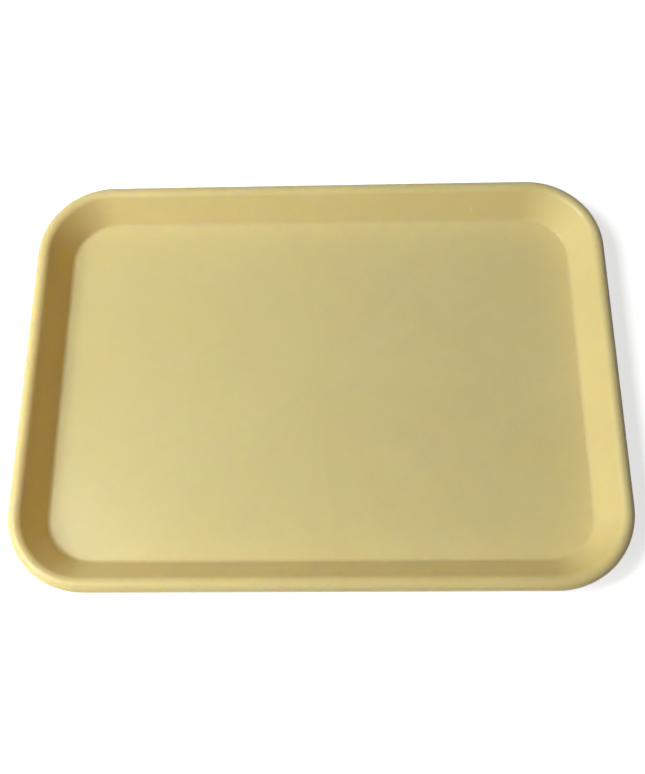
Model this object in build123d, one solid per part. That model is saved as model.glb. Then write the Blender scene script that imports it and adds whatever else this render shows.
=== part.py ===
"""Flat dental instrument tray, size B: one plastic moulding.

The tray is a flat floor inside a sloping wall that rolls over into a round bead and ends in
a short lip, turned down all the way round. Every skin has the same thickness, so the section
is drawn as one line, the upper surface, and thickened to its underside. A foot ring under the
edge of the floor carries the tray. The four corners share that section, each turned about its
own upright axis, and the sides and the floor run straight between them.

Units are millimetres and degrees. X runs along the tray, Y across it and Z up. The origin is
the centre of the tray, in the plane that it stands on.
"""

from build123d import *
from math import cos, radians, sin, tan
import os

# Overall
tray_length = 339.7  # over the rim, 13 3/8 in
tray_width = 244.5  # over the rim, 9 5/8 in
tray_height = 22.2  # foot to crown of the rim, 7/8 in
corner_radius = 44.0  # outer edge of the rim, seen from above

# Skin and section
skin = 2.4  # thickness of floor, wall, bead and lip
wall_angle = 59.0  # slope of the wall above the floor
bead_radius = 4.2  # outer radius of the rolled rim
lip_drop = 3.6  # straight part of the lip below the bead
lip_chamfer = 0.5  # on both lower edges of the lip
floor_blend = 2.5  # radius from the floor into the wall

# Foot ring
foot_height = 1.6  # below the underside of the floor
foot_width = 2.6  # in the plane that the tray stands on, before the chamfers
foot_draft = 8.0  # taper of each side, for release from the mould
foot_chamfer = 0.4

# Moulding marks on the underside
gate_recess_radius = 5.0
gate_recess_depth = 0.5
gate_stub_radius = 1.6
gate_stub_height = 0.3  # left standing in the recess, below the skin
ejector_radius = 3.0
ejector_depth = 0.2
ejector_rows = 2
ejector_columns = 3
ejector_inset = 26.0  # from the inner edge of the foot ring to the outer marks

# Places that follow from the sizes
floor_underside = foot_height
floor_top = floor_underside + skin
lip_bottom = tray_height - bead_radius - lip_drop
corner_x = tray_length / 2 - corner_radius  # upright axis of each corner
corner_y = tray_width / 2 - corner_radius
slope = radians(wall_angle)
bead_centre = (corner_radius - bead_radius, tray_height - bead_radius)
wall_top = (
    bead_centre[0] - bead_radius * sin(slope),
    bead_centre[1] + bead_radius * cos(slope),
)
wall_foot_z = floor_top + floor_blend * (1 - cos(slope))
wall_run = (wall_top[1] - wall_foot_z) / tan(slope)
wall_foot = (wall_top[0] - wall_run, wall_foot_z)
floor_edge = wall_foot[0] - floor_blend * sin(slope)  # where the flat floor ends
foot_middle = floor_edge - foot_width / 2
foot_inner_x = corner_x + floor_edge - foot_width
foot_inner_y = corner_y + floor_edge - foot_width
on_its_base = (Align.CENTER, Align.CENTER, Align.MIN)


def upper_line():
    """The upper surface in section, from a corner's axis out over the rim and down the lip."""
    flat = Line((0, floor_top), (floor_edge, floor_top))
    blend = JernArc(flat @ 1, (1, 0), floor_blend, wall_angle)
    wall = Line(wall_foot, wall_top)
    bead = JernArc(wall_top, wall % 1, bead_radius, -(wall_angle + 90))
    lip = Line(bead @ 1, (corner_radius, lip_bottom))
    return Wire([flat, blend, wall, bead, lip])


def skin_section():
    """The upper line thickened to its underside, with the lip's lower edges broken."""
    outline = offset(upper_line(), amount=skin, side=Side.RIGHT, closed=True)
    section = make_face(outline)
    lip_corners = section.vertices().filter_by(
        lambda v: abs(v.Y - lip_bottom) < 0.01 and v.X > bead_centre[0] - skin
    )
    return chamfer(lip_corners, lip_chamfer)


def foot_section():
    """The foot ring in section: a drafted rib that runs up into the skin it stands under."""
    rib_height = foot_height + skin / 2
    root_width = foot_width + 2 * rib_height * tan(radians(foot_draft))
    rib = Rot(0, 0, 180) * Trapezoid(root_width, rib_height, 90 - foot_draft)
    return Pos(foot_middle, rib_height / 2) * rib


def section():
    """Skin and foot ring in one face; X is the distance from a corner's axis, Y is height."""
    whole = skin_section() + foot_section()
    ground = whole.vertices().group_by(Axis.Y)[0]
    return chamfer(ground, foot_chamfer)


def moulding():
    """Four turned corners, four straight sides and the floor between them, as one solid."""
    upright = Plane.XZ * section()
    corner = revolve(upright, Axis.Z, revolution_arc=90)
    tray = Pos(0, 0, floor_underside) * Box(2 * corner_x, 2 * corner_y, skin, align=on_its_base)
    for quarter in range(4):
        turn = Rot(0, 0, 90 * quarter)
        along, across = (corner_x, corner_y) if quarter % 2 == 0 else (corner_y, corner_x)
        side = extrude(upright, amount=2 * across, dir=(0, 1, 0))
        tray += turn * Pos(along, across, 0) * corner
        tray += turn * Pos(along, -across, 0) * side
    return tray


def gate_mark():
    """The recess that the injection gate sits in, without the stub left standing in it."""
    recess = Cylinder(gate_recess_radius, gate_recess_depth, align=on_its_base)
    stub = Cylinder(gate_stub_radius, gate_stub_height, align=on_its_base)
    stub = Pos(0, 0, gate_recess_depth - gate_stub_height) * stub
    return Pos(0, 0, floor_underside) * (recess - stub)


def ejector_marks():
    """Shallow round prints of the ejector pins, in rows that follow the foot ring."""
    pitch_x = 2 * (foot_inner_x - ejector_inset) / (ejector_columns - 1)
    pitch_y = 2 * (foot_inner_y - ejector_inset) / (ejector_rows - 1)
    mark = Cylinder(ejector_radius, ejector_depth, align=on_its_base)
    places = GridLocations(pitch_x, pitch_y, ejector_columns, ejector_rows)
    return [Pos(0, 0, floor_underside) * place * mark for place in places]


tray = moulding() - gate_mark() - ejector_marks()

os.makedirs("parts", exist_ok=True)
export_step(tray, "parts/tray.step")
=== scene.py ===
"""Dresses the flat dental instrument tray: its skin as a fine mesh, its plastic and the studio.

Everything is in metres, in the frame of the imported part: X along the tray, Y across it, Z up,
with the origin in the middle of the tray on the plane that it stands on.
"""

import logging
import math
from collections.abc import Sequence
from dataclasses import dataclass
from enum import Enum
from typing import Any

import bpy
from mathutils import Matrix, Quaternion, Vector

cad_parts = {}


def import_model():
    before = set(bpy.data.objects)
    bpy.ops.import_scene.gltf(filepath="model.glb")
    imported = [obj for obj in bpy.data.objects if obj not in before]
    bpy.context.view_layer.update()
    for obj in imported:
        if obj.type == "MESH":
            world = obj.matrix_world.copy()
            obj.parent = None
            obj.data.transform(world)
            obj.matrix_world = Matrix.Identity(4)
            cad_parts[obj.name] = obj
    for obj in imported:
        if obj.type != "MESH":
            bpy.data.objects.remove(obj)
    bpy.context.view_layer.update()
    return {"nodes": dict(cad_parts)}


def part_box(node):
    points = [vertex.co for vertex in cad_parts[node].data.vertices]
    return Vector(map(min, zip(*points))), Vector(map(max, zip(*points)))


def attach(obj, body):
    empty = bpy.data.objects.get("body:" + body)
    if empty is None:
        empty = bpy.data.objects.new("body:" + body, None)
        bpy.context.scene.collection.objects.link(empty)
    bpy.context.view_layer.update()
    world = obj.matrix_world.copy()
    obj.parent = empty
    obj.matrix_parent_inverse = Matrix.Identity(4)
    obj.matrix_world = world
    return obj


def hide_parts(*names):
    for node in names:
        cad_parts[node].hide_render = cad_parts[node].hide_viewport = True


log = logging.getLogger("tray")

MM = 0.001
WHITE = (1.0, 1.0, 1.0, 1.0)
Point = tuple[float, float]
Range = tuple[float, float]
Ripple = tuple[float, float, float]
Place = tuple[float, float, float]
Colour = tuple[float, float, float]
Corners = tuple[int, ...]


class Face(Enum):
    """The two faces of the moulding, each with its own finish; the value is the material slot."""

    SHOWN = 0
    UNDER = 1


# Shape ---------------------------------------------------------------------------------------


def run(start: Point, end: Point, steps: int) -> list[Point]:
    """Divides a straight line.

    Args:
        start: First point.
        end: Last point.
        steps: Number of equal parts.

    Returns:
        The points after the first, with the last.
    """
    shares = [i / steps for i in range(1, steps + 1)]
    return [(start[0] + (end[0] - start[0]) * s, start[1] + (end[1] - start[1]) * s) for s in shares]


def arc(centre: Point, radius: float, start: float, sweep: float, steps: int) -> list[Point]:
    """Divides an arc.

    Args:
        centre: Centre of the arc.
        radius: Its radius.
        start: Angle of the first point, in radians from the outward direction.
        sweep: Angle turned through, in radians, positive towards up.
        steps: Number of equal parts.

    Returns:
        The points after the first, with the last.
    """
    angles = [start + sweep * i / steps for i in range(1, steps + 1)]
    return [(centre[0] + radius * math.cos(a), centre[1] + radius * math.sin(a)) for a in angles]


@dataclass(frozen=True)
class TraySection:
    """The section of floor, wall, rolled rim, lip and foot ring, the same all round the tray.

    The first number of a point is its distance from a corner's upright axis, and the second is
    its height above the plane that the tray stands on.
    """

    height: float
    corner_radius: float = 44.0 * MM
    skin: float = 2.4 * MM
    wall_angle: float = math.radians(59.0)
    bead_radius: float = 4.2 * MM
    lip_drop: float = 3.6 * MM
    lip_edge_radius: float = 0.5 * MM
    floor_blend: float = 2.5 * MM
    foot_height: float = 1.6 * MM
    foot_width: float = 2.6 * MM
    foot_draft: float = math.radians(8.0)
    foot_chamfer: float = 0.4 * MM
    floor_steps: int = 6
    blend_steps: int = 16
    wall_steps: int = 8
    bead_steps: int = 30
    inner_bead_steps: int = 18
    lip_steps: int = 3
    edge_steps: int = 6

    @property
    def floor_top(self) -> float:
        """Height of the floor's upper face."""
        return self.foot_height + self.skin

    @property
    def lip_bottom(self) -> float:
        """Height of the lip's lower edge."""
        return self.height - self.bead_radius - self.lip_drop

    @property
    def bead_centre(self) -> Point:
        """Centre of the rolled rim."""
        return (self.corner_radius - self.bead_radius, self.height - self.bead_radius)

    @property
    def bead_start(self) -> float:
        """Angle on the rolled rim where the wall runs into it."""
        return math.pi / 2 + self.wall_angle

    @property
    def wall_top(self) -> Point:
        """Where the wall runs into the rolled rim, on the upper face."""
        return arc(self.bead_centre, self.bead_radius, self.bead_start, 0.0, 1)[0]

    @property
    def wall_foot(self) -> Point:
        """Where the floor's blend runs into the wall, on the upper face."""
        z = self.floor_top + self.floor_blend * (1 - math.cos(self.wall_angle))
        return (self.wall_top[0] - (self.wall_top[1] - z) / math.tan(self.wall_angle), z)

    @property
    def floor_edge(self) -> float:
        """Where the flat floor ends, from a corner's axis."""
        return self.wall_foot[0] - self.floor_blend * math.sin(self.wall_angle)

    @property
    def blend_centre(self) -> Point:
        """Centre of the blends between floor and wall, on both faces."""
        return (self.floor_edge, self.floor_top + self.floor_blend)

    def upper(self) -> list[Point]:
        """Draws the upper face outwards: floor, blend, wall, rolled rim and lip.

        Returns:
            Points from the corner's axis to the lower edge of the lip.
        """
        edge = self.lip_edge_radius
        lip_foot = (self.corner_radius, self.lip_bottom + edge)
        points = [(0.0, self.floor_top)]
        points += run(points[-1], (self.floor_edge, self.floor_top), self.floor_steps)
        start, turn = -math.pi / 2, self.wall_angle
        points += arc(self.blend_centre, self.floor_blend, start, turn, self.blend_steps)
        points += run(points[-1], self.wall_top, self.wall_steps)
        start, turn = self.bead_start, -self.bead_start
        points += arc(self.bead_centre, self.bead_radius, start, turn, self.bead_steps)
        points += run(points[-1], lip_foot, self.lip_steps)
        edge_centre = (lip_foot[0] - edge, lip_foot[1])
        points += arc(edge_centre, edge, 0.0, -math.pi / 2, self.edge_steps)
        return points

    def lower(self) -> list[Point]:
        """Draws the lower face inwards: lip, rolled rim, wall, blend, foot ring and floor.

        Returns:
            Points from the lip's inner edge to the corner's axis.
        """
        edge = self.lip_edge_radius
        inner = self.corner_radius - self.skin
        lip_foot = (inner + edge, self.lip_bottom + edge)
        points = [(lip_foot[0], self.lip_bottom)]
        points += arc(lip_foot, edge, -math.pi / 2, -math.pi / 2, self.edge_steps)
        points += run(points[-1], (inner, self.bead_centre[1]), self.lip_steps)
        inner_bead = self.bead_radius - self.skin
        points += arc(self.bead_centre, inner_bead, 0.0, self.bead_start, self.inner_bead_steps)
        outer_blend = self.floor_blend + self.skin
        start = self.wall_angle - math.pi / 2
        wall_end = arc(self.blend_centre, outer_blend, start, 0.0, 1)[0]
        points += run(points[-1], wall_end, self.wall_steps)
        blend = arc(self.blend_centre, outer_blend, start, -self.wall_angle, self.blend_steps)
        points += blend[:-1]
        points += self.foot()
        points += run(points[-1], (0.0, self.foot_height), self.floor_steps)
        return points

    def foot(self) -> list[Point]:
        """Draws the foot ring from its outer root, round its ground face, to its inner root.

        Returns:
            Six points.
        """
        half = self.foot_width / 2
        middle = self.floor_edge - half
        cut = self.foot_chamfer
        lean = math.tan(self.foot_draft)
        root = (half + self.foot_height * lean, self.foot_height)
        side = [root, (half + cut * lean, cut), (half - cut, 0.0)]
        outer = [(middle + x, z) for x, z in side]
        inner = [(middle - x, z) for x, z in reversed(side)]
        return outer + inner


@dataclass(frozen=True)
class MouldMarks:
    """What the mould leaves on the underside: the gate's recess and stub, and the ejector prints."""

    gate_radius: float = 5.0 * MM
    gate_depth: float = 0.5 * MM
    stub_radius: float = 1.6 * MM
    stub_height: float = 0.3 * MM
    ejector_radius: float = 3.0 * MM
    ejector_depth: float = 0.2 * MM
    ejector_rows: int = 2
    ejector_columns: int = 3
    ejector_inset: float = 26.0 * MM
    clearance: float = 1.0 * MM

    def cutters(
        self, section: TraySection, half_length: float, half_width: float
    ) -> list[bpy.types.Object]:
        """Makes the solids that are cut out of the underside.

        Args:
            section: The tray's section.
            half_length: Half the tray's outer length.
            half_width: Half the tray's outer width.

        Returns:
            One object for each mark, with the gate's two solids joined into one ring.
        """
        inset = section.corner_radius - section.floor_edge + section.foot_width + self.ejector_inset
        columns = spread(half_length - inset, self.ejector_columns)
        rows = spread(half_width - inset, self.ejector_rows)
        low = section.foot_height - self.clearance
        high = section.foot_height + self.ejector_depth
        marks = [self.ejector_cutter((x, y), (low, high)) for x in columns for y in rows]
        marks.append(self.gate_cutter(section.foot_height))
        return marks

    def gate_cutter(self, level: float) -> bpy.types.Object:
        """Makes the gate's recess as a turned ring with a shallow middle, which leaves the stub.

        Args:
            level: Height of the underside.

        Returns:
            The cutter.
        """
        top = level + self.gate_depth
        stub = top - self.stub_height
        low = level - self.clearance
        outline = [(0.0, stub), (self.stub_radius, stub), (self.stub_radius, top)]
        outline += [(self.gate_radius, top), (self.gate_radius, low), (0.0, low)]
        return turned("gate_cutter", outline, (0.0, 0.0))

    def ejector_cutter(self, place: Point, levels: Range) -> bpy.types.Object:
        """Makes an ejector's print as an upright cylinder.

        Args:
            place: Its axis, seen from above.
            levels: Its lowest and highest point.

        Returns:
            The cutter.
        """
        low, high = levels
        radius = self.ejector_radius
        outline = [(0.0, high), (radius, high), (radius, low), (0.0, low)]
        return turned("ejector_cutter", outline, place)


def spread(half: float, count: int) -> list[float]:
    """Spaces places evenly from -half to half.

    Args:
        half: The outermost place.
        count: How many places, at least two.

    Returns:
        The places, in order.
    """
    return [half * (2 * i / (count - 1) - 1) for i in range(count)]


def turned(name: str, outline: list[Point], place: Point, steps: int = 48) -> bpy.types.Object:
    """Turns an outline about an upright axis into a closed solid.

    Args:
        name: The object's name.
        outline: Radius and height of each point; the first and the last lie on the axis.
        place: The axis, seen from above.
        steps: Number of parts round the axis.

    Returns:
        The solid.
    """
    verts: list[Place] = [(place[0], place[1], outline[0][1])]
    angles = [math.tau * i / steps for i in range(steps)]
    for radius, z in outline[1:-1]:
        verts += [(place[0] + radius * math.cos(a), place[1] + radius * math.sin(a), z) for a in angles]
    verts.append((place[0], place[1], outline[-1][1]))
    rings = len(outline) - 2
    last = len(verts) - 1
    faces: list[Corners] = []
    for i in range(steps):
        j = (i + 1) % steps
        faces.append((0, 1 + i, 1 + j))
        for k in range(rings - 1):
            near, far = 1 + k * steps, 1 + (k + 1) * steps
            faces.append((near + i, far + i, far + j, near + j))
        far = 1 + (rings - 1) * steps
        faces.append((last, far + j, far + i))
    return new_object(name, verts, faces)


def new_object(name: str, verts: list[Place], faces: list[Corners]) -> bpy.types.Object:
    """Makes a mesh object and links it to the scene.

    Args:
        name: The object's name.
        verts: Its vertices.
        faces: Its faces, as vertex numbers.

    Returns:
        The object.
    """
    mesh = bpy.data.meshes.new(name)
    mesh.from_pydata(verts, [], faces)
    mesh.update()
    obj = bpy.data.objects.new(name, mesh)
    bpy.context.scene.collection.objects.link(obj)
    return obj


@dataclass
class TrayShell:
    """The moulding as one closed skin: the section swept round the sides and the four corners."""

    length: float
    width: float
    section: TraySection
    marks: MouldMarks = MouldMarks()
    corner_steps: int = 32
    long_steps: int = 48
    short_steps: int = 30
    warp: float = 0.07 * MM
    warp_margin: float = 12.0 * MM
    foot_clearance: float = 1.5  # in widths of the foot ring, from the edge of the floor
    dome_share: float = 0.5
    dome_turn: float = 0.5
    dome_shift: float = 0.4
    ripples: tuple[Ripple, ...] = ((0.3, 0.9, -0.7), (0.2, 0.6, 1.3))  # share, turn in X and in Y
    sharp_angle: float = math.radians(28.0)
    upright: float = 0.02  # most that a normal leans up or down on an upright face

    @property
    def axis(self) -> Point:
        """The corner axis in the quarter where X and Y are positive."""
        radius = self.section.corner_radius
        return (self.length / 2 - radius, self.width / 2 - radius)

    def build(self) -> bpy.types.Object:
        """Builds the skin, cuts the marks into its underside and lets the floor warp a little.

        Returns:
            The tray, with no material yet.
        """
        verts: list[Place] = []
        faces: list[Corners] = []
        upper, lower = self.section.upper(), self.section.lower()
        first = self.lay_core(verts, faces, upper[0][1], up=True)
        rings = [first] + [self.lay_ring(verts, point) for point in upper[1:] + lower[:-1]]
        rings.append(self.lay_core(verts, faces, lower[-1][1], up=False))
        for near, far in zip(rings, rings[1:]):
            faces += strip(near, far)
        tray = new_object("tray_skin", verts, faces)
        self.cut_marks(tray)
        self.settle(tray.data)
        self.part_faces(tray.data)
        return tray

    def places(self) -> list[tuple[Point, Point]]:
        """Lists the columns round the tray, anticlockwise from the end of a short side.

        Returns:
            For each column a point of the core and the outward direction there.
        """
        x, y = self.axis
        centres = [(x, y), (-x, y), (-x, -y), (x, -y)]
        columns: list[tuple[Point, Point]] = []
        for quarter, centre in enumerate(centres):
            for i in range(self.corner_steps + 1):
                angle = math.pi / 2 * (quarter + i / self.corner_steps)
                columns.append((centre, (math.cos(angle), math.sin(angle))))
            steps = self.long_steps if quarter % 2 == 0 else self.short_steps
            outward = columns[-1][1]
            columns += [(p, outward) for p in run(centre, centres[(quarter + 1) % 4], steps)[:-1]]
        return columns

    def lay_ring(self, verts: list[Place], point: Point) -> list[int]:
        """Adds one ring of vertices round the tray.

        Args:
            verts: The vertices so far, which the ring is added to.
            point: A point of the section.

        Returns:
            The numbers of the ring's vertices.
        """
        start = len(verts)
        reach, z = point
        verts += [(c[0] + n[0] * reach, c[1] + n[1] * reach, z) for c, n in self.places()]
        return list(range(start, len(verts)))

    def lay_core(
        self, verts: list[Place], faces: list[Corners], z: float, up: bool
    ) -> list[int]:
        """Adds the flat rectangle between the corner axes.

        Args:
            verts: The vertices so far, which the rectangle's are added to.
            faces: The faces so far, which the rectangle's are added to.
            z: Its height.
            up: Whether it faces up.

        Returns:
            For each column round the tray the number of the vertex that it starts from.
        """
        start = len(verts)
        xs = spread(self.axis[0], self.long_steps + 1)
        ys = spread(self.axis[1], self.short_steps + 1)
        verts += [(x, y, z) for y in ys for x in xs]
        row = len(xs)
        for j in range(self.short_steps):
            for i in range(self.long_steps):
                a = start + j * row + i
                face = (a, a + 1, a + row + 1, a + row)
                faces.append(face if up else face[::-1])
        step_x = 2 * self.axis[0] / self.long_steps
        step_y = 2 * self.axis[1] / self.short_steps
        numbers = []
        for (x, y), _ in self.places():
            i = round((x + self.axis[0]) / step_x)
            j = round((y + self.axis[1]) / step_y)
            numbers.append(start + j * row + i)
        return numbers

    def cut_marks(self, tray: bpy.types.Object) -> None:
        """Cuts the mould's marks into the underside.

        Args:
            tray: The tray, whose mesh is replaced.
        """
        for cutter in self.marks.cutters(self.section, self.length / 2, self.width / 2):
            cut = tray.modifiers.new(cutter.name, "BOOLEAN")
            cut.operation = "DIFFERENCE"
            cut.solver = "EXACT"
            cut.object = cutter
            bpy.context.view_layer.update()
            evaluated = tray.evaluated_get(bpy.context.evaluated_depsgraph_get())
            tray.data = bpy.data.meshes.new_from_object(evaluated)
            tray.modifiers.clear()
            bpy.data.objects.remove(cutter)

    def settle(self, mesh: bpy.types.Mesh) -> None:
        """Lets the floor's two faces rise and fall together by a hair, as moulded floors do.

        Args:
            mesh: The tray's mesh.
        """
        limit = self.section.wall_foot[1]
        for vertex in mesh.vertices:
            x, y, z = vertex.co
            inside = self.inside(x, y)
            if z < limit and inside > 0:
                ease = min(inside / self.warp_margin, 1.0)
                vertex.co.z += self.warp * ease * ease * (3 - 2 * ease) * self.swell(x, y)

    def inside(self, x: float, y: float) -> float:
        """Measures how far a place lies inside the foot ring, seen from above.

        Args:
            x: Its place along the tray.
            y: Its place across the tray.

        Returns:
            The distance, negative outside.
        """
        over_x = abs(x) - self.axis[0]
        over_y = abs(y) - self.axis[1]
        reach = math.hypot(max(over_x, 0.0), max(over_y, 0.0)) + min(max(over_x, over_y), 0.0)
        return self.section.floor_edge - self.foot_clearance * self.section.foot_width - reach

    def swell(self, x: float, y: float) -> float:
        """Gives the shape of the floor's rise and fall.

        Args:
            x: Place along the tray.
            y: Place across the tray.

        Returns:
            A number from about -1 to 1.
        """
        u = math.pi * x / self.axis[0]
        v = math.pi * y / self.axis[1]
        across = math.cos(self.dome_turn * v)
        level = self.dome_share * math.cos(self.dome_turn * u + self.dome_shift) * across
        for share, turn_x, turn_y in self.ripples:
            level += share * math.sin(turn_x * u + turn_y * v)
        return level

    def part_faces(self, mesh: bpy.types.Mesh) -> None:
        """Smooths the skin but for its true edges, and tells the shown face from the underside.

        Args:
            mesh: The tray's mesh.
        """
        mesh.shade_smooth()
        mesh.set_sharp_from_angle(angle=self.sharp_angle)
        for face in mesh.polygons:
            side = Face.UNDER if self.is_under(face) else Face.SHOWN
            face.material_index = side.value

    def is_under(self, face: bpy.types.MeshPolygon) -> bool:
        """Tells whether a face belongs to the underside, with the lip's inner side.

        Args:
            face: The face.

        Returns:
            True for what faces down, and for what stands upright within the lip.
        """
        over_x = max(abs(face.center.x) - self.axis[0], 0.0)
        over_y = max(abs(face.center.y) - self.axis[1], 0.0)
        lip_middle = self.section.corner_radius - self.section.skin / 2
        upright_within = math.hypot(over_x, over_y) < lip_middle and face.normal.z < self.upright
        return face.normal.z < -self.upright or upright_within

    @staticmethod
    def dress(tray: bpy.types.Object, plastics: dict[Face, bpy.types.Material]) -> None:
        """Gives the skin its plastics, hides the imported part that it takes the place of, and hangs it
        on the root body.

        Args:
            tray: The skin.
            plastics: The material of each face of the moulding.
        """
        for face in Face:
            tray.data.materials.append(plastics[face])
        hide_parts("tray")
        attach(tray, "root")


def strip(near: list[int], far: list[int]) -> list[Corners]:
    """Joins two closed rings of as many vertices with faces, leaving out what has no width.

    Args:
        near: Vertex numbers of the first ring, with repeats where it turns on the spot.
        far: Vertex numbers of the second ring.

    Returns:
        The faces, turned outwards.
    """
    faces: list[Corners] = []
    count = len(near)
    for i in range(count):
        j = (i + 1) % count
        corners = [near[i], far[i], far[j], near[j]]
        face = [v for k, v in enumerate(corners) if v != corners[k - 1]]
        if len(face) > 2:
            faces.append(tuple(face))
    return faces


# Finish --------------------------------------------------------------------------------------


class NodeTree:
    """Adds nodes to a node tree in one line each."""

    def __init__(self, tree: bpy.types.NodeTree) -> None:
        """Wraps a tree.

        Args:
            tree: A material's, a world's or a group's tree.
        """
        self.tree = tree

    def add(
        self, kind: str, inputs: dict[str | int, Any] | None = None, **settings: Any
    ) -> bpy.types.Node:
        """Adds a node.

        Args:
            kind: Its type.
            inputs: For each input's name or number, a value or the socket that feeds it.
            settings: Its other properties.

        Returns:
            The node.
        """
        node = self.tree.nodes.new(kind)
        for name, value in settings.items():
            setattr(node, name, value)
        for key, value in (inputs or {}).items():
            if isinstance(value, bpy.types.NodeSocket):
                self.tree.links.new(value, node.inputs[key])
            else:
                node.inputs[key].default_value = value
        return node

    def math(self, operation: str, *values: Any) -> bpy.types.NodeSocket:
        """Adds a Math node.

        Args:
            operation: What it does.
            values: Its inputs.

        Returns:
            Its output.
        """
        return self.add("ShaderNodeMath", dict(enumerate(values)), operation=operation).outputs[0]

    def ramp(
        self, value: Any, low: float, high: float, to_low: float = 0.0, to_high: float = 1.0
    ) -> bpy.types.NodeSocket:
        """Maps a value smoothly from one range to another.

        Args:
            value: The value.
            low: Where the change starts.
            high: Where it ends.
            to_low: Result at and before the start.
            to_high: Result at and after the end.

        Returns:
            The result.
        """
        inputs = {0: value, 1: low, 2: high, 3: to_low, 4: to_high}
        return self.add("ShaderNodeMapRange", inputs, interpolation_type="SMOOTHSTEP").outputs[0]


class Effects:
    """The effects that both faces' plastics share, each a node group built once."""

    scratch_turns: tuple[float, ...] = (0.25, 1.05, 1.85, 2.7)  # radians
    scratch_layer: float = 0.37  # from one direction's noise to the next
    scratch_cut: Range = (0.70, 0.76)  # of the noise, from no line to a full one
    patch_scale: float = 21.0
    patch_cut: Range = (-0.05, 0.12)
    streak_share: float = 0.4
    cloud_share: float = 0.6
    cloud_scale: float = 18.0
    grit_scale: float = 900.0
    rub_edge: Range = (0.7, 1.5)  # of the distance with its grit, from worn to whole

    def __init__(self) -> None:
        """Builds the groups."""
        self.grain = self.build_grain()
        self.hairlines = self.build_hairlines()
        self.flow = self.build_flow()
        self.rub = self.build_rub()

    @staticmethod
    def start(
        name: str, numbers: dict[str, float], result: str
    ) -> tuple[NodeTree, bpy.types.Node, bpy.types.Node]:
        """Starts a group.

        Args:
            name: The group's name.
            numbers: Its number inputs with their defaults.
            result: Name of its one output.

        Returns:
            The wrapped tree, the group's input node and its output node.
        """
        tree = bpy.data.node_groups.new(name, "ShaderNodeTree")
        tree.interface.new_socket("Vector", in_out="INPUT", socket_type="NodeSocketVector")
        for key, value in numbers.items():
            socket = tree.interface.new_socket(key, in_out="INPUT", socket_type="NodeSocketFloat")
            socket.default_value = value
        tree.interface.new_socket(result, in_out="OUTPUT", socket_type="NodeSocketFloat")
        nodes = NodeTree(tree)
        return nodes, nodes.add("NodeGroupInput"), nodes.add("NodeGroupOutput")

    def build_grain(self) -> bpy.types.NodeTree:
        """Builds the satin grain that a blasted mould leaves.

        Returns:
            A group that puts out a height from 0 to 1.
        """
        nodes, given, out = self.start("satin_grain", {"Scale": 3000.0}, "Height")
        place, scale = given.outputs["Vector"], given.outputs["Scale"]
        fine = nodes.add(
            "ShaderNodeTexNoise",
            {"Vector": place, "Scale": scale, "Detail": 2.0, "Roughness": 0.6},
        )
        nodes.tree.links.new(fine.outputs["Fac"], out.inputs["Height"])
        return nodes.tree

    def build_hairlines(self) -> bpy.types.NodeTree:
        """Builds the fine scratches of use: thin lines in four directions, broken up.

        Returns:
            A group that puts out a mask.
        """
        defaults = {"Scale": 14.0, "Stretch": 60.0, "Coverage": 0.5}
        nodes, given, out = self.start("hairline_scratches", defaults, "Mask")
        lines = None
        for number, turn in enumerate(self.scratch_turns):
            turned_by = nodes.add(
                "ShaderNodeVectorRotate",
                {"Vector": given.outputs["Vector"], "Angle": turn},
                rotation_type="Z_AXIS",
            )
            parts = nodes.add("ShaderNodeSeparateXYZ", {0: turned_by.outputs[0]})
            across = nodes.math("MULTIPLY", parts.outputs[1], given.outputs["Stretch"])
            layer = self.scratch_layer * number
            along = nodes.add("ShaderNodeCombineXYZ", {0: parts.outputs[0], 1: across, 2: layer})
            noise = nodes.add(
                "ShaderNodeTexNoise",
                {"Vector": along.outputs[0], "Scale": given.outputs["Scale"], "Detail": 1.0},
            )
            line = nodes.ramp(noise.outputs["Fac"], *self.scratch_cut)
            lines = line if lines is None else nodes.math("MAXIMUM", lines, line)
        patches = nodes.add(
            "ShaderNodeTexNoise",
            {"Vector": given.outputs["Vector"], "Scale": self.patch_scale, "Detail": 2.0},
        )
        gate = nodes.math("SUBTRACT", 1.0, given.outputs["Coverage"])
        above = nodes.math("SUBTRACT", patches.outputs["Fac"], gate)
        broken = nodes.ramp(above, *self.patch_cut)
        mask = nodes.math("MULTIPLY", lines, broken)
        nodes.tree.links.new(mask, out.inputs["Mask"])
        return nodes.tree

    def build_flow(self) -> bpy.types.NodeTree:
        """Builds the faint cloudy streaks that the melt leaves as it spreads from the gate.

        Returns:
            A group that puts out a mask around 0.5.
        """
        nodes, given, out = self.start("flow_streaks", {"Scale": 7.0}, "Mask")
        parts = nodes.add("ShaderNodeSeparateXYZ", {0: given.outputs["Vector"]})
        square_x = nodes.math("MULTIPLY", parts.outputs[0], parts.outputs[0])
        square_y = nodes.math("MULTIPLY", parts.outputs[1], parts.outputs[1])
        far = nodes.math("SQRT", nodes.math("ADD", square_x, square_y))
        angle = nodes.math("ARCTAN2", parts.outputs[1], parts.outputs[0])
        turn_x = nodes.math("COSINE", angle)
        turn_y = nodes.math("SINE", angle)
        place = nodes.add("ShaderNodeCombineXYZ", {0: turn_x, 1: turn_y, 2: far})
        streaks = nodes.add(
            "ShaderNodeTexNoise",
            {"Vector": place.outputs[0], "Scale": given.outputs["Scale"], "Detail": 3.0},
        )
        clouds = nodes.add(
            "ShaderNodeTexNoise",
            {"Vector": given.outputs["Vector"], "Scale": self.cloud_scale, "Detail": 3.0},
        )
        streak_part = nodes.math("MULTIPLY", streaks.outputs["Fac"], self.streak_share)
        cloud_part = nodes.math("MULTIPLY", clouds.outputs["Fac"], self.cloud_share)
        both = nodes.math("ADD", streak_part, cloud_part)
        nodes.tree.links.new(both, out.inputs["Mask"])
        return nodes.tree

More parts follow.
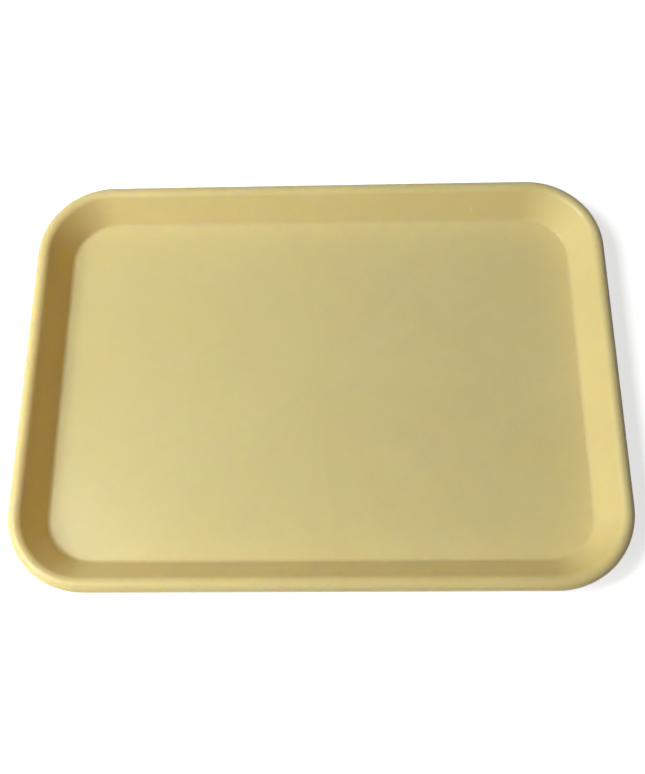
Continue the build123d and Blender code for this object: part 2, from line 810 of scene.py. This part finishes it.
    def build_rub(self) -> bpy.types.NodeTree:
        """Builds a small worn patch, an ellipsoid with a ragged edge.

        Returns:
            A group that puts out a mask.
        """
        nodes, given, out = self.start("rub_mark", {}, "Mask")
        for name in ("Place", "Half Size"):
            nodes.tree.interface.new_socket(name, in_out="INPUT", socket_type="NodeSocketVector")
        offset = nodes.add(
            "ShaderNodeVectorMath",
            {0: given.outputs["Vector"], 1: given.outputs["Place"]},
            operation="SUBTRACT",
        )
        share = nodes.add(
            "ShaderNodeVectorMath",
            {0: offset.outputs["Vector"], 1: given.outputs["Half Size"]},
            operation="DIVIDE",
        )
        far = nodes.add("ShaderNodeVectorMath", {0: share.outputs["Vector"]}, operation="LENGTH")
        rough = nodes.add(
            "ShaderNodeTexNoise",
            {"Vector": given.outputs["Vector"], "Scale": self.grit_scale, "Detail": 3.0},
        )
        ragged = nodes.math("ADD", far.outputs["Value"], rough.outputs["Fac"])
        mask = nodes.ramp(ragged, *self.rub_edge, 1.0, 0.0)
        nodes.tree.links.new(mask, out.inputs["Mask"])
        return nodes.tree


@dataclass(frozen=True)
class Plastic:
    """The finish of one face of the moulding."""

    name: str
    colour: Colour
    shade: Colour
    roughness: float
    grain_depth: float
    grain_scale: float
    scratch_coverage: float
    scratch_depth: float = 4.0e-6
    flow_scale: float = 7.0
    flow_range: Range = (0.35, 0.65)  # of the streaks' mask, from colour to shade
    gloss_swing: float = 0.02  # of the roughness, either way, with the streaks
    crown_start: float = 0.93  # share of the height above which the rim is handled
    crown_range: Range = (0.4, 0.6)  # of the streaks' mask, from least to most wear
    crown_wear: Range = (0.02, 0.06)  # least and most that it adds to the roughness
    dulling: float = 0.12  # that scratches and the rub add to the roughness
    rub_strength: float = 0.5
    subsurface: float = 1.0
    subsurface_reach: float = 5.0 * MM
    subsurface_radius: Colour = (1.0, 0.8, 0.15)
    ior: float = 1.49
    shine: float = 0.3
    worn: Colour = (0.90, 0.86, 0.62)
    rub_place: Place = (94.0 * MM, 111.0 * MM, 10.5 * MM)
    rub_half: Place = (0.8 * MM, 8.0 * MM, 3.6 * MM)

    def build(self, effects: Effects, height: float) -> bpy.types.Material:
        """Builds the material.

        Args:
            effects: The shared node groups.
            height: The tray's height, for the wear on the crown of the rim.

        Returns:
            The material.
        """
        material = bpy.data.materials.new(self.name)
        material.use_nodes = True
        material.node_tree.nodes.clear()
        nodes = NodeTree(material.node_tree)
        place = nodes.add("ShaderNodeTexCoord").outputs["Object"]
        flow = self.effect(nodes, effects.flow, place, {"Scale": self.flow_scale}, "Mask")
        grain = self.effect(nodes, effects.grain, place, {"Scale": self.grain_scale}, "Height")
        cover = {"Coverage": self.scratch_coverage}
        lines = self.effect(nodes, effects.hairlines, place, cover, "Mask")
        spot = {"Place": self.rub_place, "Half Size": self.rub_half}
        rub = self.effect(nodes, effects.rub, place, spot, "Mask")
        streaks = nodes.ramp(flow, *self.flow_range)
        colour = nodes.add(
            "ShaderNodeMix",
            {"Factor": streaks, "A": (*self.colour, 1.0), "B": (*self.shade, 1.0)},
            data_type="RGBA",
        )
        rubbed = nodes.math("MULTIPLY", rub, self.rub_strength)
        worn = nodes.add(
            "ShaderNodeMix",
            {"Factor": rubbed, "A": colour.outputs["Result"], "B": (*self.worn, 1.0)},
            data_type="RGBA",
        )
        level = nodes.add("ShaderNodeSeparateXYZ", {0: place}).outputs[2]
        crown = nodes.ramp(level, self.crown_start * height, height)
        handling = nodes.ramp(flow, *self.crown_range, *self.crown_wear)
        wear = nodes.math("MULTIPLY", crown, handling)
        dull = nodes.math("MULTIPLY", nodes.math("MAXIMUM", lines, rub), self.dulling)
        glossy, matt = self.roughness - self.gloss_swing, self.roughness + self.gloss_swing
        base = nodes.ramp(flow, *self.flow_range, glossy, matt)
        rough = nodes.math("ADD", base, nodes.math("ADD", wear, dull))
        raised = nodes.math("MULTIPLY", grain, self.grain_depth)
        cut = nodes.math("MULTIPLY", lines, self.scratch_depth)
        relief = nodes.math("SUBTRACT", raised, cut)
        bump = nodes.add("ShaderNodeBump", {"Height": relief, "Strength": 1.0, "Distance": 1.0})
        shader = nodes.add(
            "ShaderNodeBsdfPrincipled",
            {
                "Base Color": worn.outputs["Result"],
                "Roughness": rough,
                "Normal": bump.outputs[0],
                "IOR": self.ior,
                "Specular IOR Level": self.shine,
                "Subsurface Weight": self.subsurface,
                "Subsurface Radius": self.subsurface_radius,
                "Subsurface Scale": self.subsurface_reach,
            },
        )
        nodes.add("ShaderNodeOutputMaterial", {"Surface": shader.outputs[0]})
        return material

    @staticmethod
    def effect(
        nodes: NodeTree,
        group: bpy.types.NodeTree,
        place: bpy.types.NodeSocket,
        numbers: dict[str, float | Place],
        result: str,
    ) -> bpy.types.NodeSocket:
        """Places a shared group in the material.

        Args:
            nodes: The material's nodes.
            group: The group.
            place: The coordinates that it follows.
            numbers: Its other inputs.
            result: Name of its output.

        Returns:
            That output.
        """
        node = nodes.add("ShaderNodeGroup", node_tree=group)
        nodes.tree.links.new(place, node.inputs["Vector"])
        for key, value in numbers.items():
            node.inputs[key].default_value = value
        return node.outputs[result]


PLASTICS: dict[Face, Plastic] = {
    Face.SHOWN: Plastic(
        name="plastic_shown",
        colour=(0.82, 0.68, 0.315),
        shade=(0.80, 0.66, 0.30),
        roughness=0.33,
        grain_depth=1.2e-6,
        grain_scale=2600.0,
        scratch_coverage=0.45,
    ),
    Face.UNDER: Plastic(
        name="plastic_under",
        colour=(0.81, 0.67, 0.305),
        shade=(0.79, 0.65, 0.29),
        roughness=0.5,
        grain_depth=9.0e-6,
        grain_scale=1300.0,
        scratch_coverage=0.35,
    ),
}


# Studio --------------------------------------------------------------------------------------


@dataclass(frozen=True)
class Softbox:
    """A square soft lamp that faces the tray; angles in degrees, as direction() takes them."""

    name: str
    azimuth: float
    elevation: float
    size: float
    watts: float
    distance: float = 1.2

    def hang(self, aim: Vector) -> bpy.types.Object:
        """Hangs the lamp.

        Args:
            aim: The point that it faces.

        Returns:
            The lamp.
        """
        lamp = bpy.data.lights.new(self.name, "AREA")
        lamp.shape = "SQUARE"
        lamp.size = self.size
        lamp.energy = self.watts
        obj = bpy.data.objects.new(self.name, lamp)
        away = direction(self.azimuth, self.elevation)
        obj.location = aim + away * self.distance
        obj.rotation_euler = away.to_track_quat("Z", "Y").to_euler()
        bpy.context.scene.collection.objects.link(obj)
        return obj


def direction(azimuth: float, elevation: float) -> Vector:
    """Gives the direction from the tray to a place round it.

    Args:
        azimuth: Degrees from the front (-Y), anticlockwise seen from above.
        elevation: Degrees above the horizon.

    Returns:
        A vector of length 1.
    """
    a, e = math.radians(azimuth), math.radians(elevation)
    return Vector((math.sin(a) * math.cos(e), -math.cos(a) * math.cos(e), math.sin(e)))


@dataclass(frozen=True)
class Viewpoint:
    """Where the camera stands, seen from the point that it aims at; angles in degrees."""

    aim: Place = (1.98 * MM, -3.89 * MM, 4.0 * MM)
    azimuth: float = 4.94
    elevation: float = 71.24
    roll: float = -5.27
    distance: float = 502.5 * MM
    lens: float = 39.89  # millimetres, as the sensor
    sensor: float = 36.0
    clip_start: float = 10 * MM
    clip_end: float = 50.0

    def set_up(self) -> bpy.types.Object:
        """Makes the scene's camera.

        Returns:
            The camera.
        """
        data = bpy.data.cameras.new("camera")
        data.lens = self.lens
        data.sensor_width = self.sensor
        data.clip_start = self.clip_start
        data.clip_end = self.clip_end
        camera = bpy.data.objects.new("camera", data)
        away = direction(self.azimuth, self.elevation)
        camera.location = Vector(self.aim) + away * self.distance
        camera.rotation_mode = "QUATERNION"
        twist = Quaternion((0.0, 0.0, 1.0), math.radians(self.roll))
        camera.rotation_quaternion = away.to_track_quat("Z", "Y") @ twist
        bpy.context.scene.collection.objects.link(camera)
        bpy.context.scene.camera = camera
        return camera


@dataclass(frozen=True)
class Studio:
    """A pale floor under a white surround, lit by soft lamps."""

    view: Viewpoint = Viewpoint()
    lamps: tuple[Softbox, ...] = (
        Softbox("window", azimuth=-60.0, elevation=42.0, size=0.7, watts=4.0),
        Softbox("low_window", azimuth=-90.0, elevation=15.0, size=0.7, watts=1.3),
        Softbox("key", azimuth=-85.0, elevation=56.0, size=0.3, watts=7.9),
        Softbox("side_key", azimuth=-73.0, elevation=40.0, size=0.22, watts=2.8),
    )
    floor_half: float = 5.0
    floor_colour: Colour = (0.80, 0.80, 0.79)
    floor_glow: float = 0.72
    floor_gap: float = 0.05 * MM
    fade_start: float = 0.35
    fade_end: float = 1.0

    def set_up(self, ground: float) -> None:
        """Makes the floor, the surround, the lamps and the camera.

        Args:
            ground: Height that the floor lies at.
        """
        self.lay_floor(ground - self.floor_gap)
        self.surround()
        for lamp in self.lamps:
            lamp.hang(Vector(self.view.aim))
        self.view.set_up()

    def lay_floor(self, ground: float) -> bpy.types.Object:
        """Lays the floor, which fades to white away from the tray and is clear from below.

        Args:
            ground: Its height.

        Returns:
            The floor.
        """
        half = self.floor_half
        corners = [(x * half, y * half, ground) for x, y in ((-1, -1), (1, -1), (1, 1), (-1, 1))]
        floor = new_object("studio_floor", corners, [(0, 1, 2, 3)])
        material = bpy.data.materials.new("studio_floor")
        material.use_nodes = True
        material.node_tree.nodes.clear()
        nodes = NodeTree(material.node_tree)
        paint = nodes.add("ShaderNodeBsdfDiffuse", {"Color": (*self.floor_colour, 1.0)})
        place = nodes.add("ShaderNodeTexCoord").outputs["Object"]
        away = nodes.add("ShaderNodeVectorMath", {0: place}, operation="LENGTH").outputs["Value"]
        level = nodes.ramp(away, self.fade_start, self.fade_end, self.floor_glow, 1.0)
        path = nodes.add("ShaderNodeLightPath")
        seen = nodes.math("MULTIPLY", self.looked_at(nodes, path), level)
        glow = nodes.add("ShaderNodeEmission", {"Color": WHITE, "Strength": seen})
        top = nodes.add("ShaderNodeAddShader", {0: paint.outputs[0], 1: glow.outputs[0]})
        below = nodes.add("ShaderNodeNewGeometry").outputs["Backfacing"]
        clear = nodes.add("ShaderNodeBsdfTransparent")
        both = nodes.add("ShaderNodeMixShader", {0: below, 1: top.outputs[0], 2: clear.outputs[0]})
        nodes.add("ShaderNodeOutputMaterial", {"Surface": both.outputs[0]})
        floor.data.materials.append(material)
        return floor

    @staticmethod
    def looked_at(nodes: NodeTree, path: bpy.types.Node) -> bpy.types.NodeSocket:
        """Tells rays that look at the surround from rays that carry its light.

        Args:
            nodes: The tree's nodes.
            path: Its Light Path node.

        Returns:
            1 for camera, glossy and transmission rays, and 0 for the rest.
        """
        glossy, clear = path.outputs["Is Glossy Ray"], path.outputs["Is Transmission Ray"]
        bent = nodes.math("MAXIMUM", glossy, clear)
        return nodes.math("MAXIMUM", path.outputs["Is Camera Ray"], bent)

    def surround(self) -> None:
        """Makes the world: white to look at, and dark for the light that it would cast."""
        world = bpy.data.worlds.new("surround")
        world.use_nodes = True
        world.node_tree.nodes.clear()
        nodes = NodeTree(world.node_tree)
        path = nodes.add("ShaderNodeLightPath")
        white = nodes.add(
            "ShaderNodeBackground",
            {"Color": WHITE, "Strength": self.looked_at(nodes, path)},
        )
        nodes.add("ShaderNodeOutputWorld", {"Surface": white.outputs[0]})
        bpy.context.scene.world = world


# The scene -----------------------------------------------------------------------------------


def main() -> None:
    """Builds the tray's skin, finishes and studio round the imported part."""
    logging.basicConfig(level=logging.INFO, format="%(name)s: %(message)s")
    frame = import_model()
    low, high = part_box("tray")
    log.info("frame: %d node, %.1f mm long", len(frame["nodes"]), (high.x - low.x) / MM)

    section = TraySection(height=high.z - low.z)
    shell = TrayShell(length=high.x - low.x, width=high.y - low.y, section=section)
    tray = shell.build()
    effects = Effects()
    plastics = {face: finish.build(effects, section.height) for face, finish in PLASTICS.items()}
    shell.dress(tray, plastics)
    log.info("%s: %d faces", tray.name, len(tray.data.polygons))

    Studio().set_up(low.z)
    bpy.context.scene.view_settings.view_transform = "Standard"


if __name__ == "__main__":
    main()
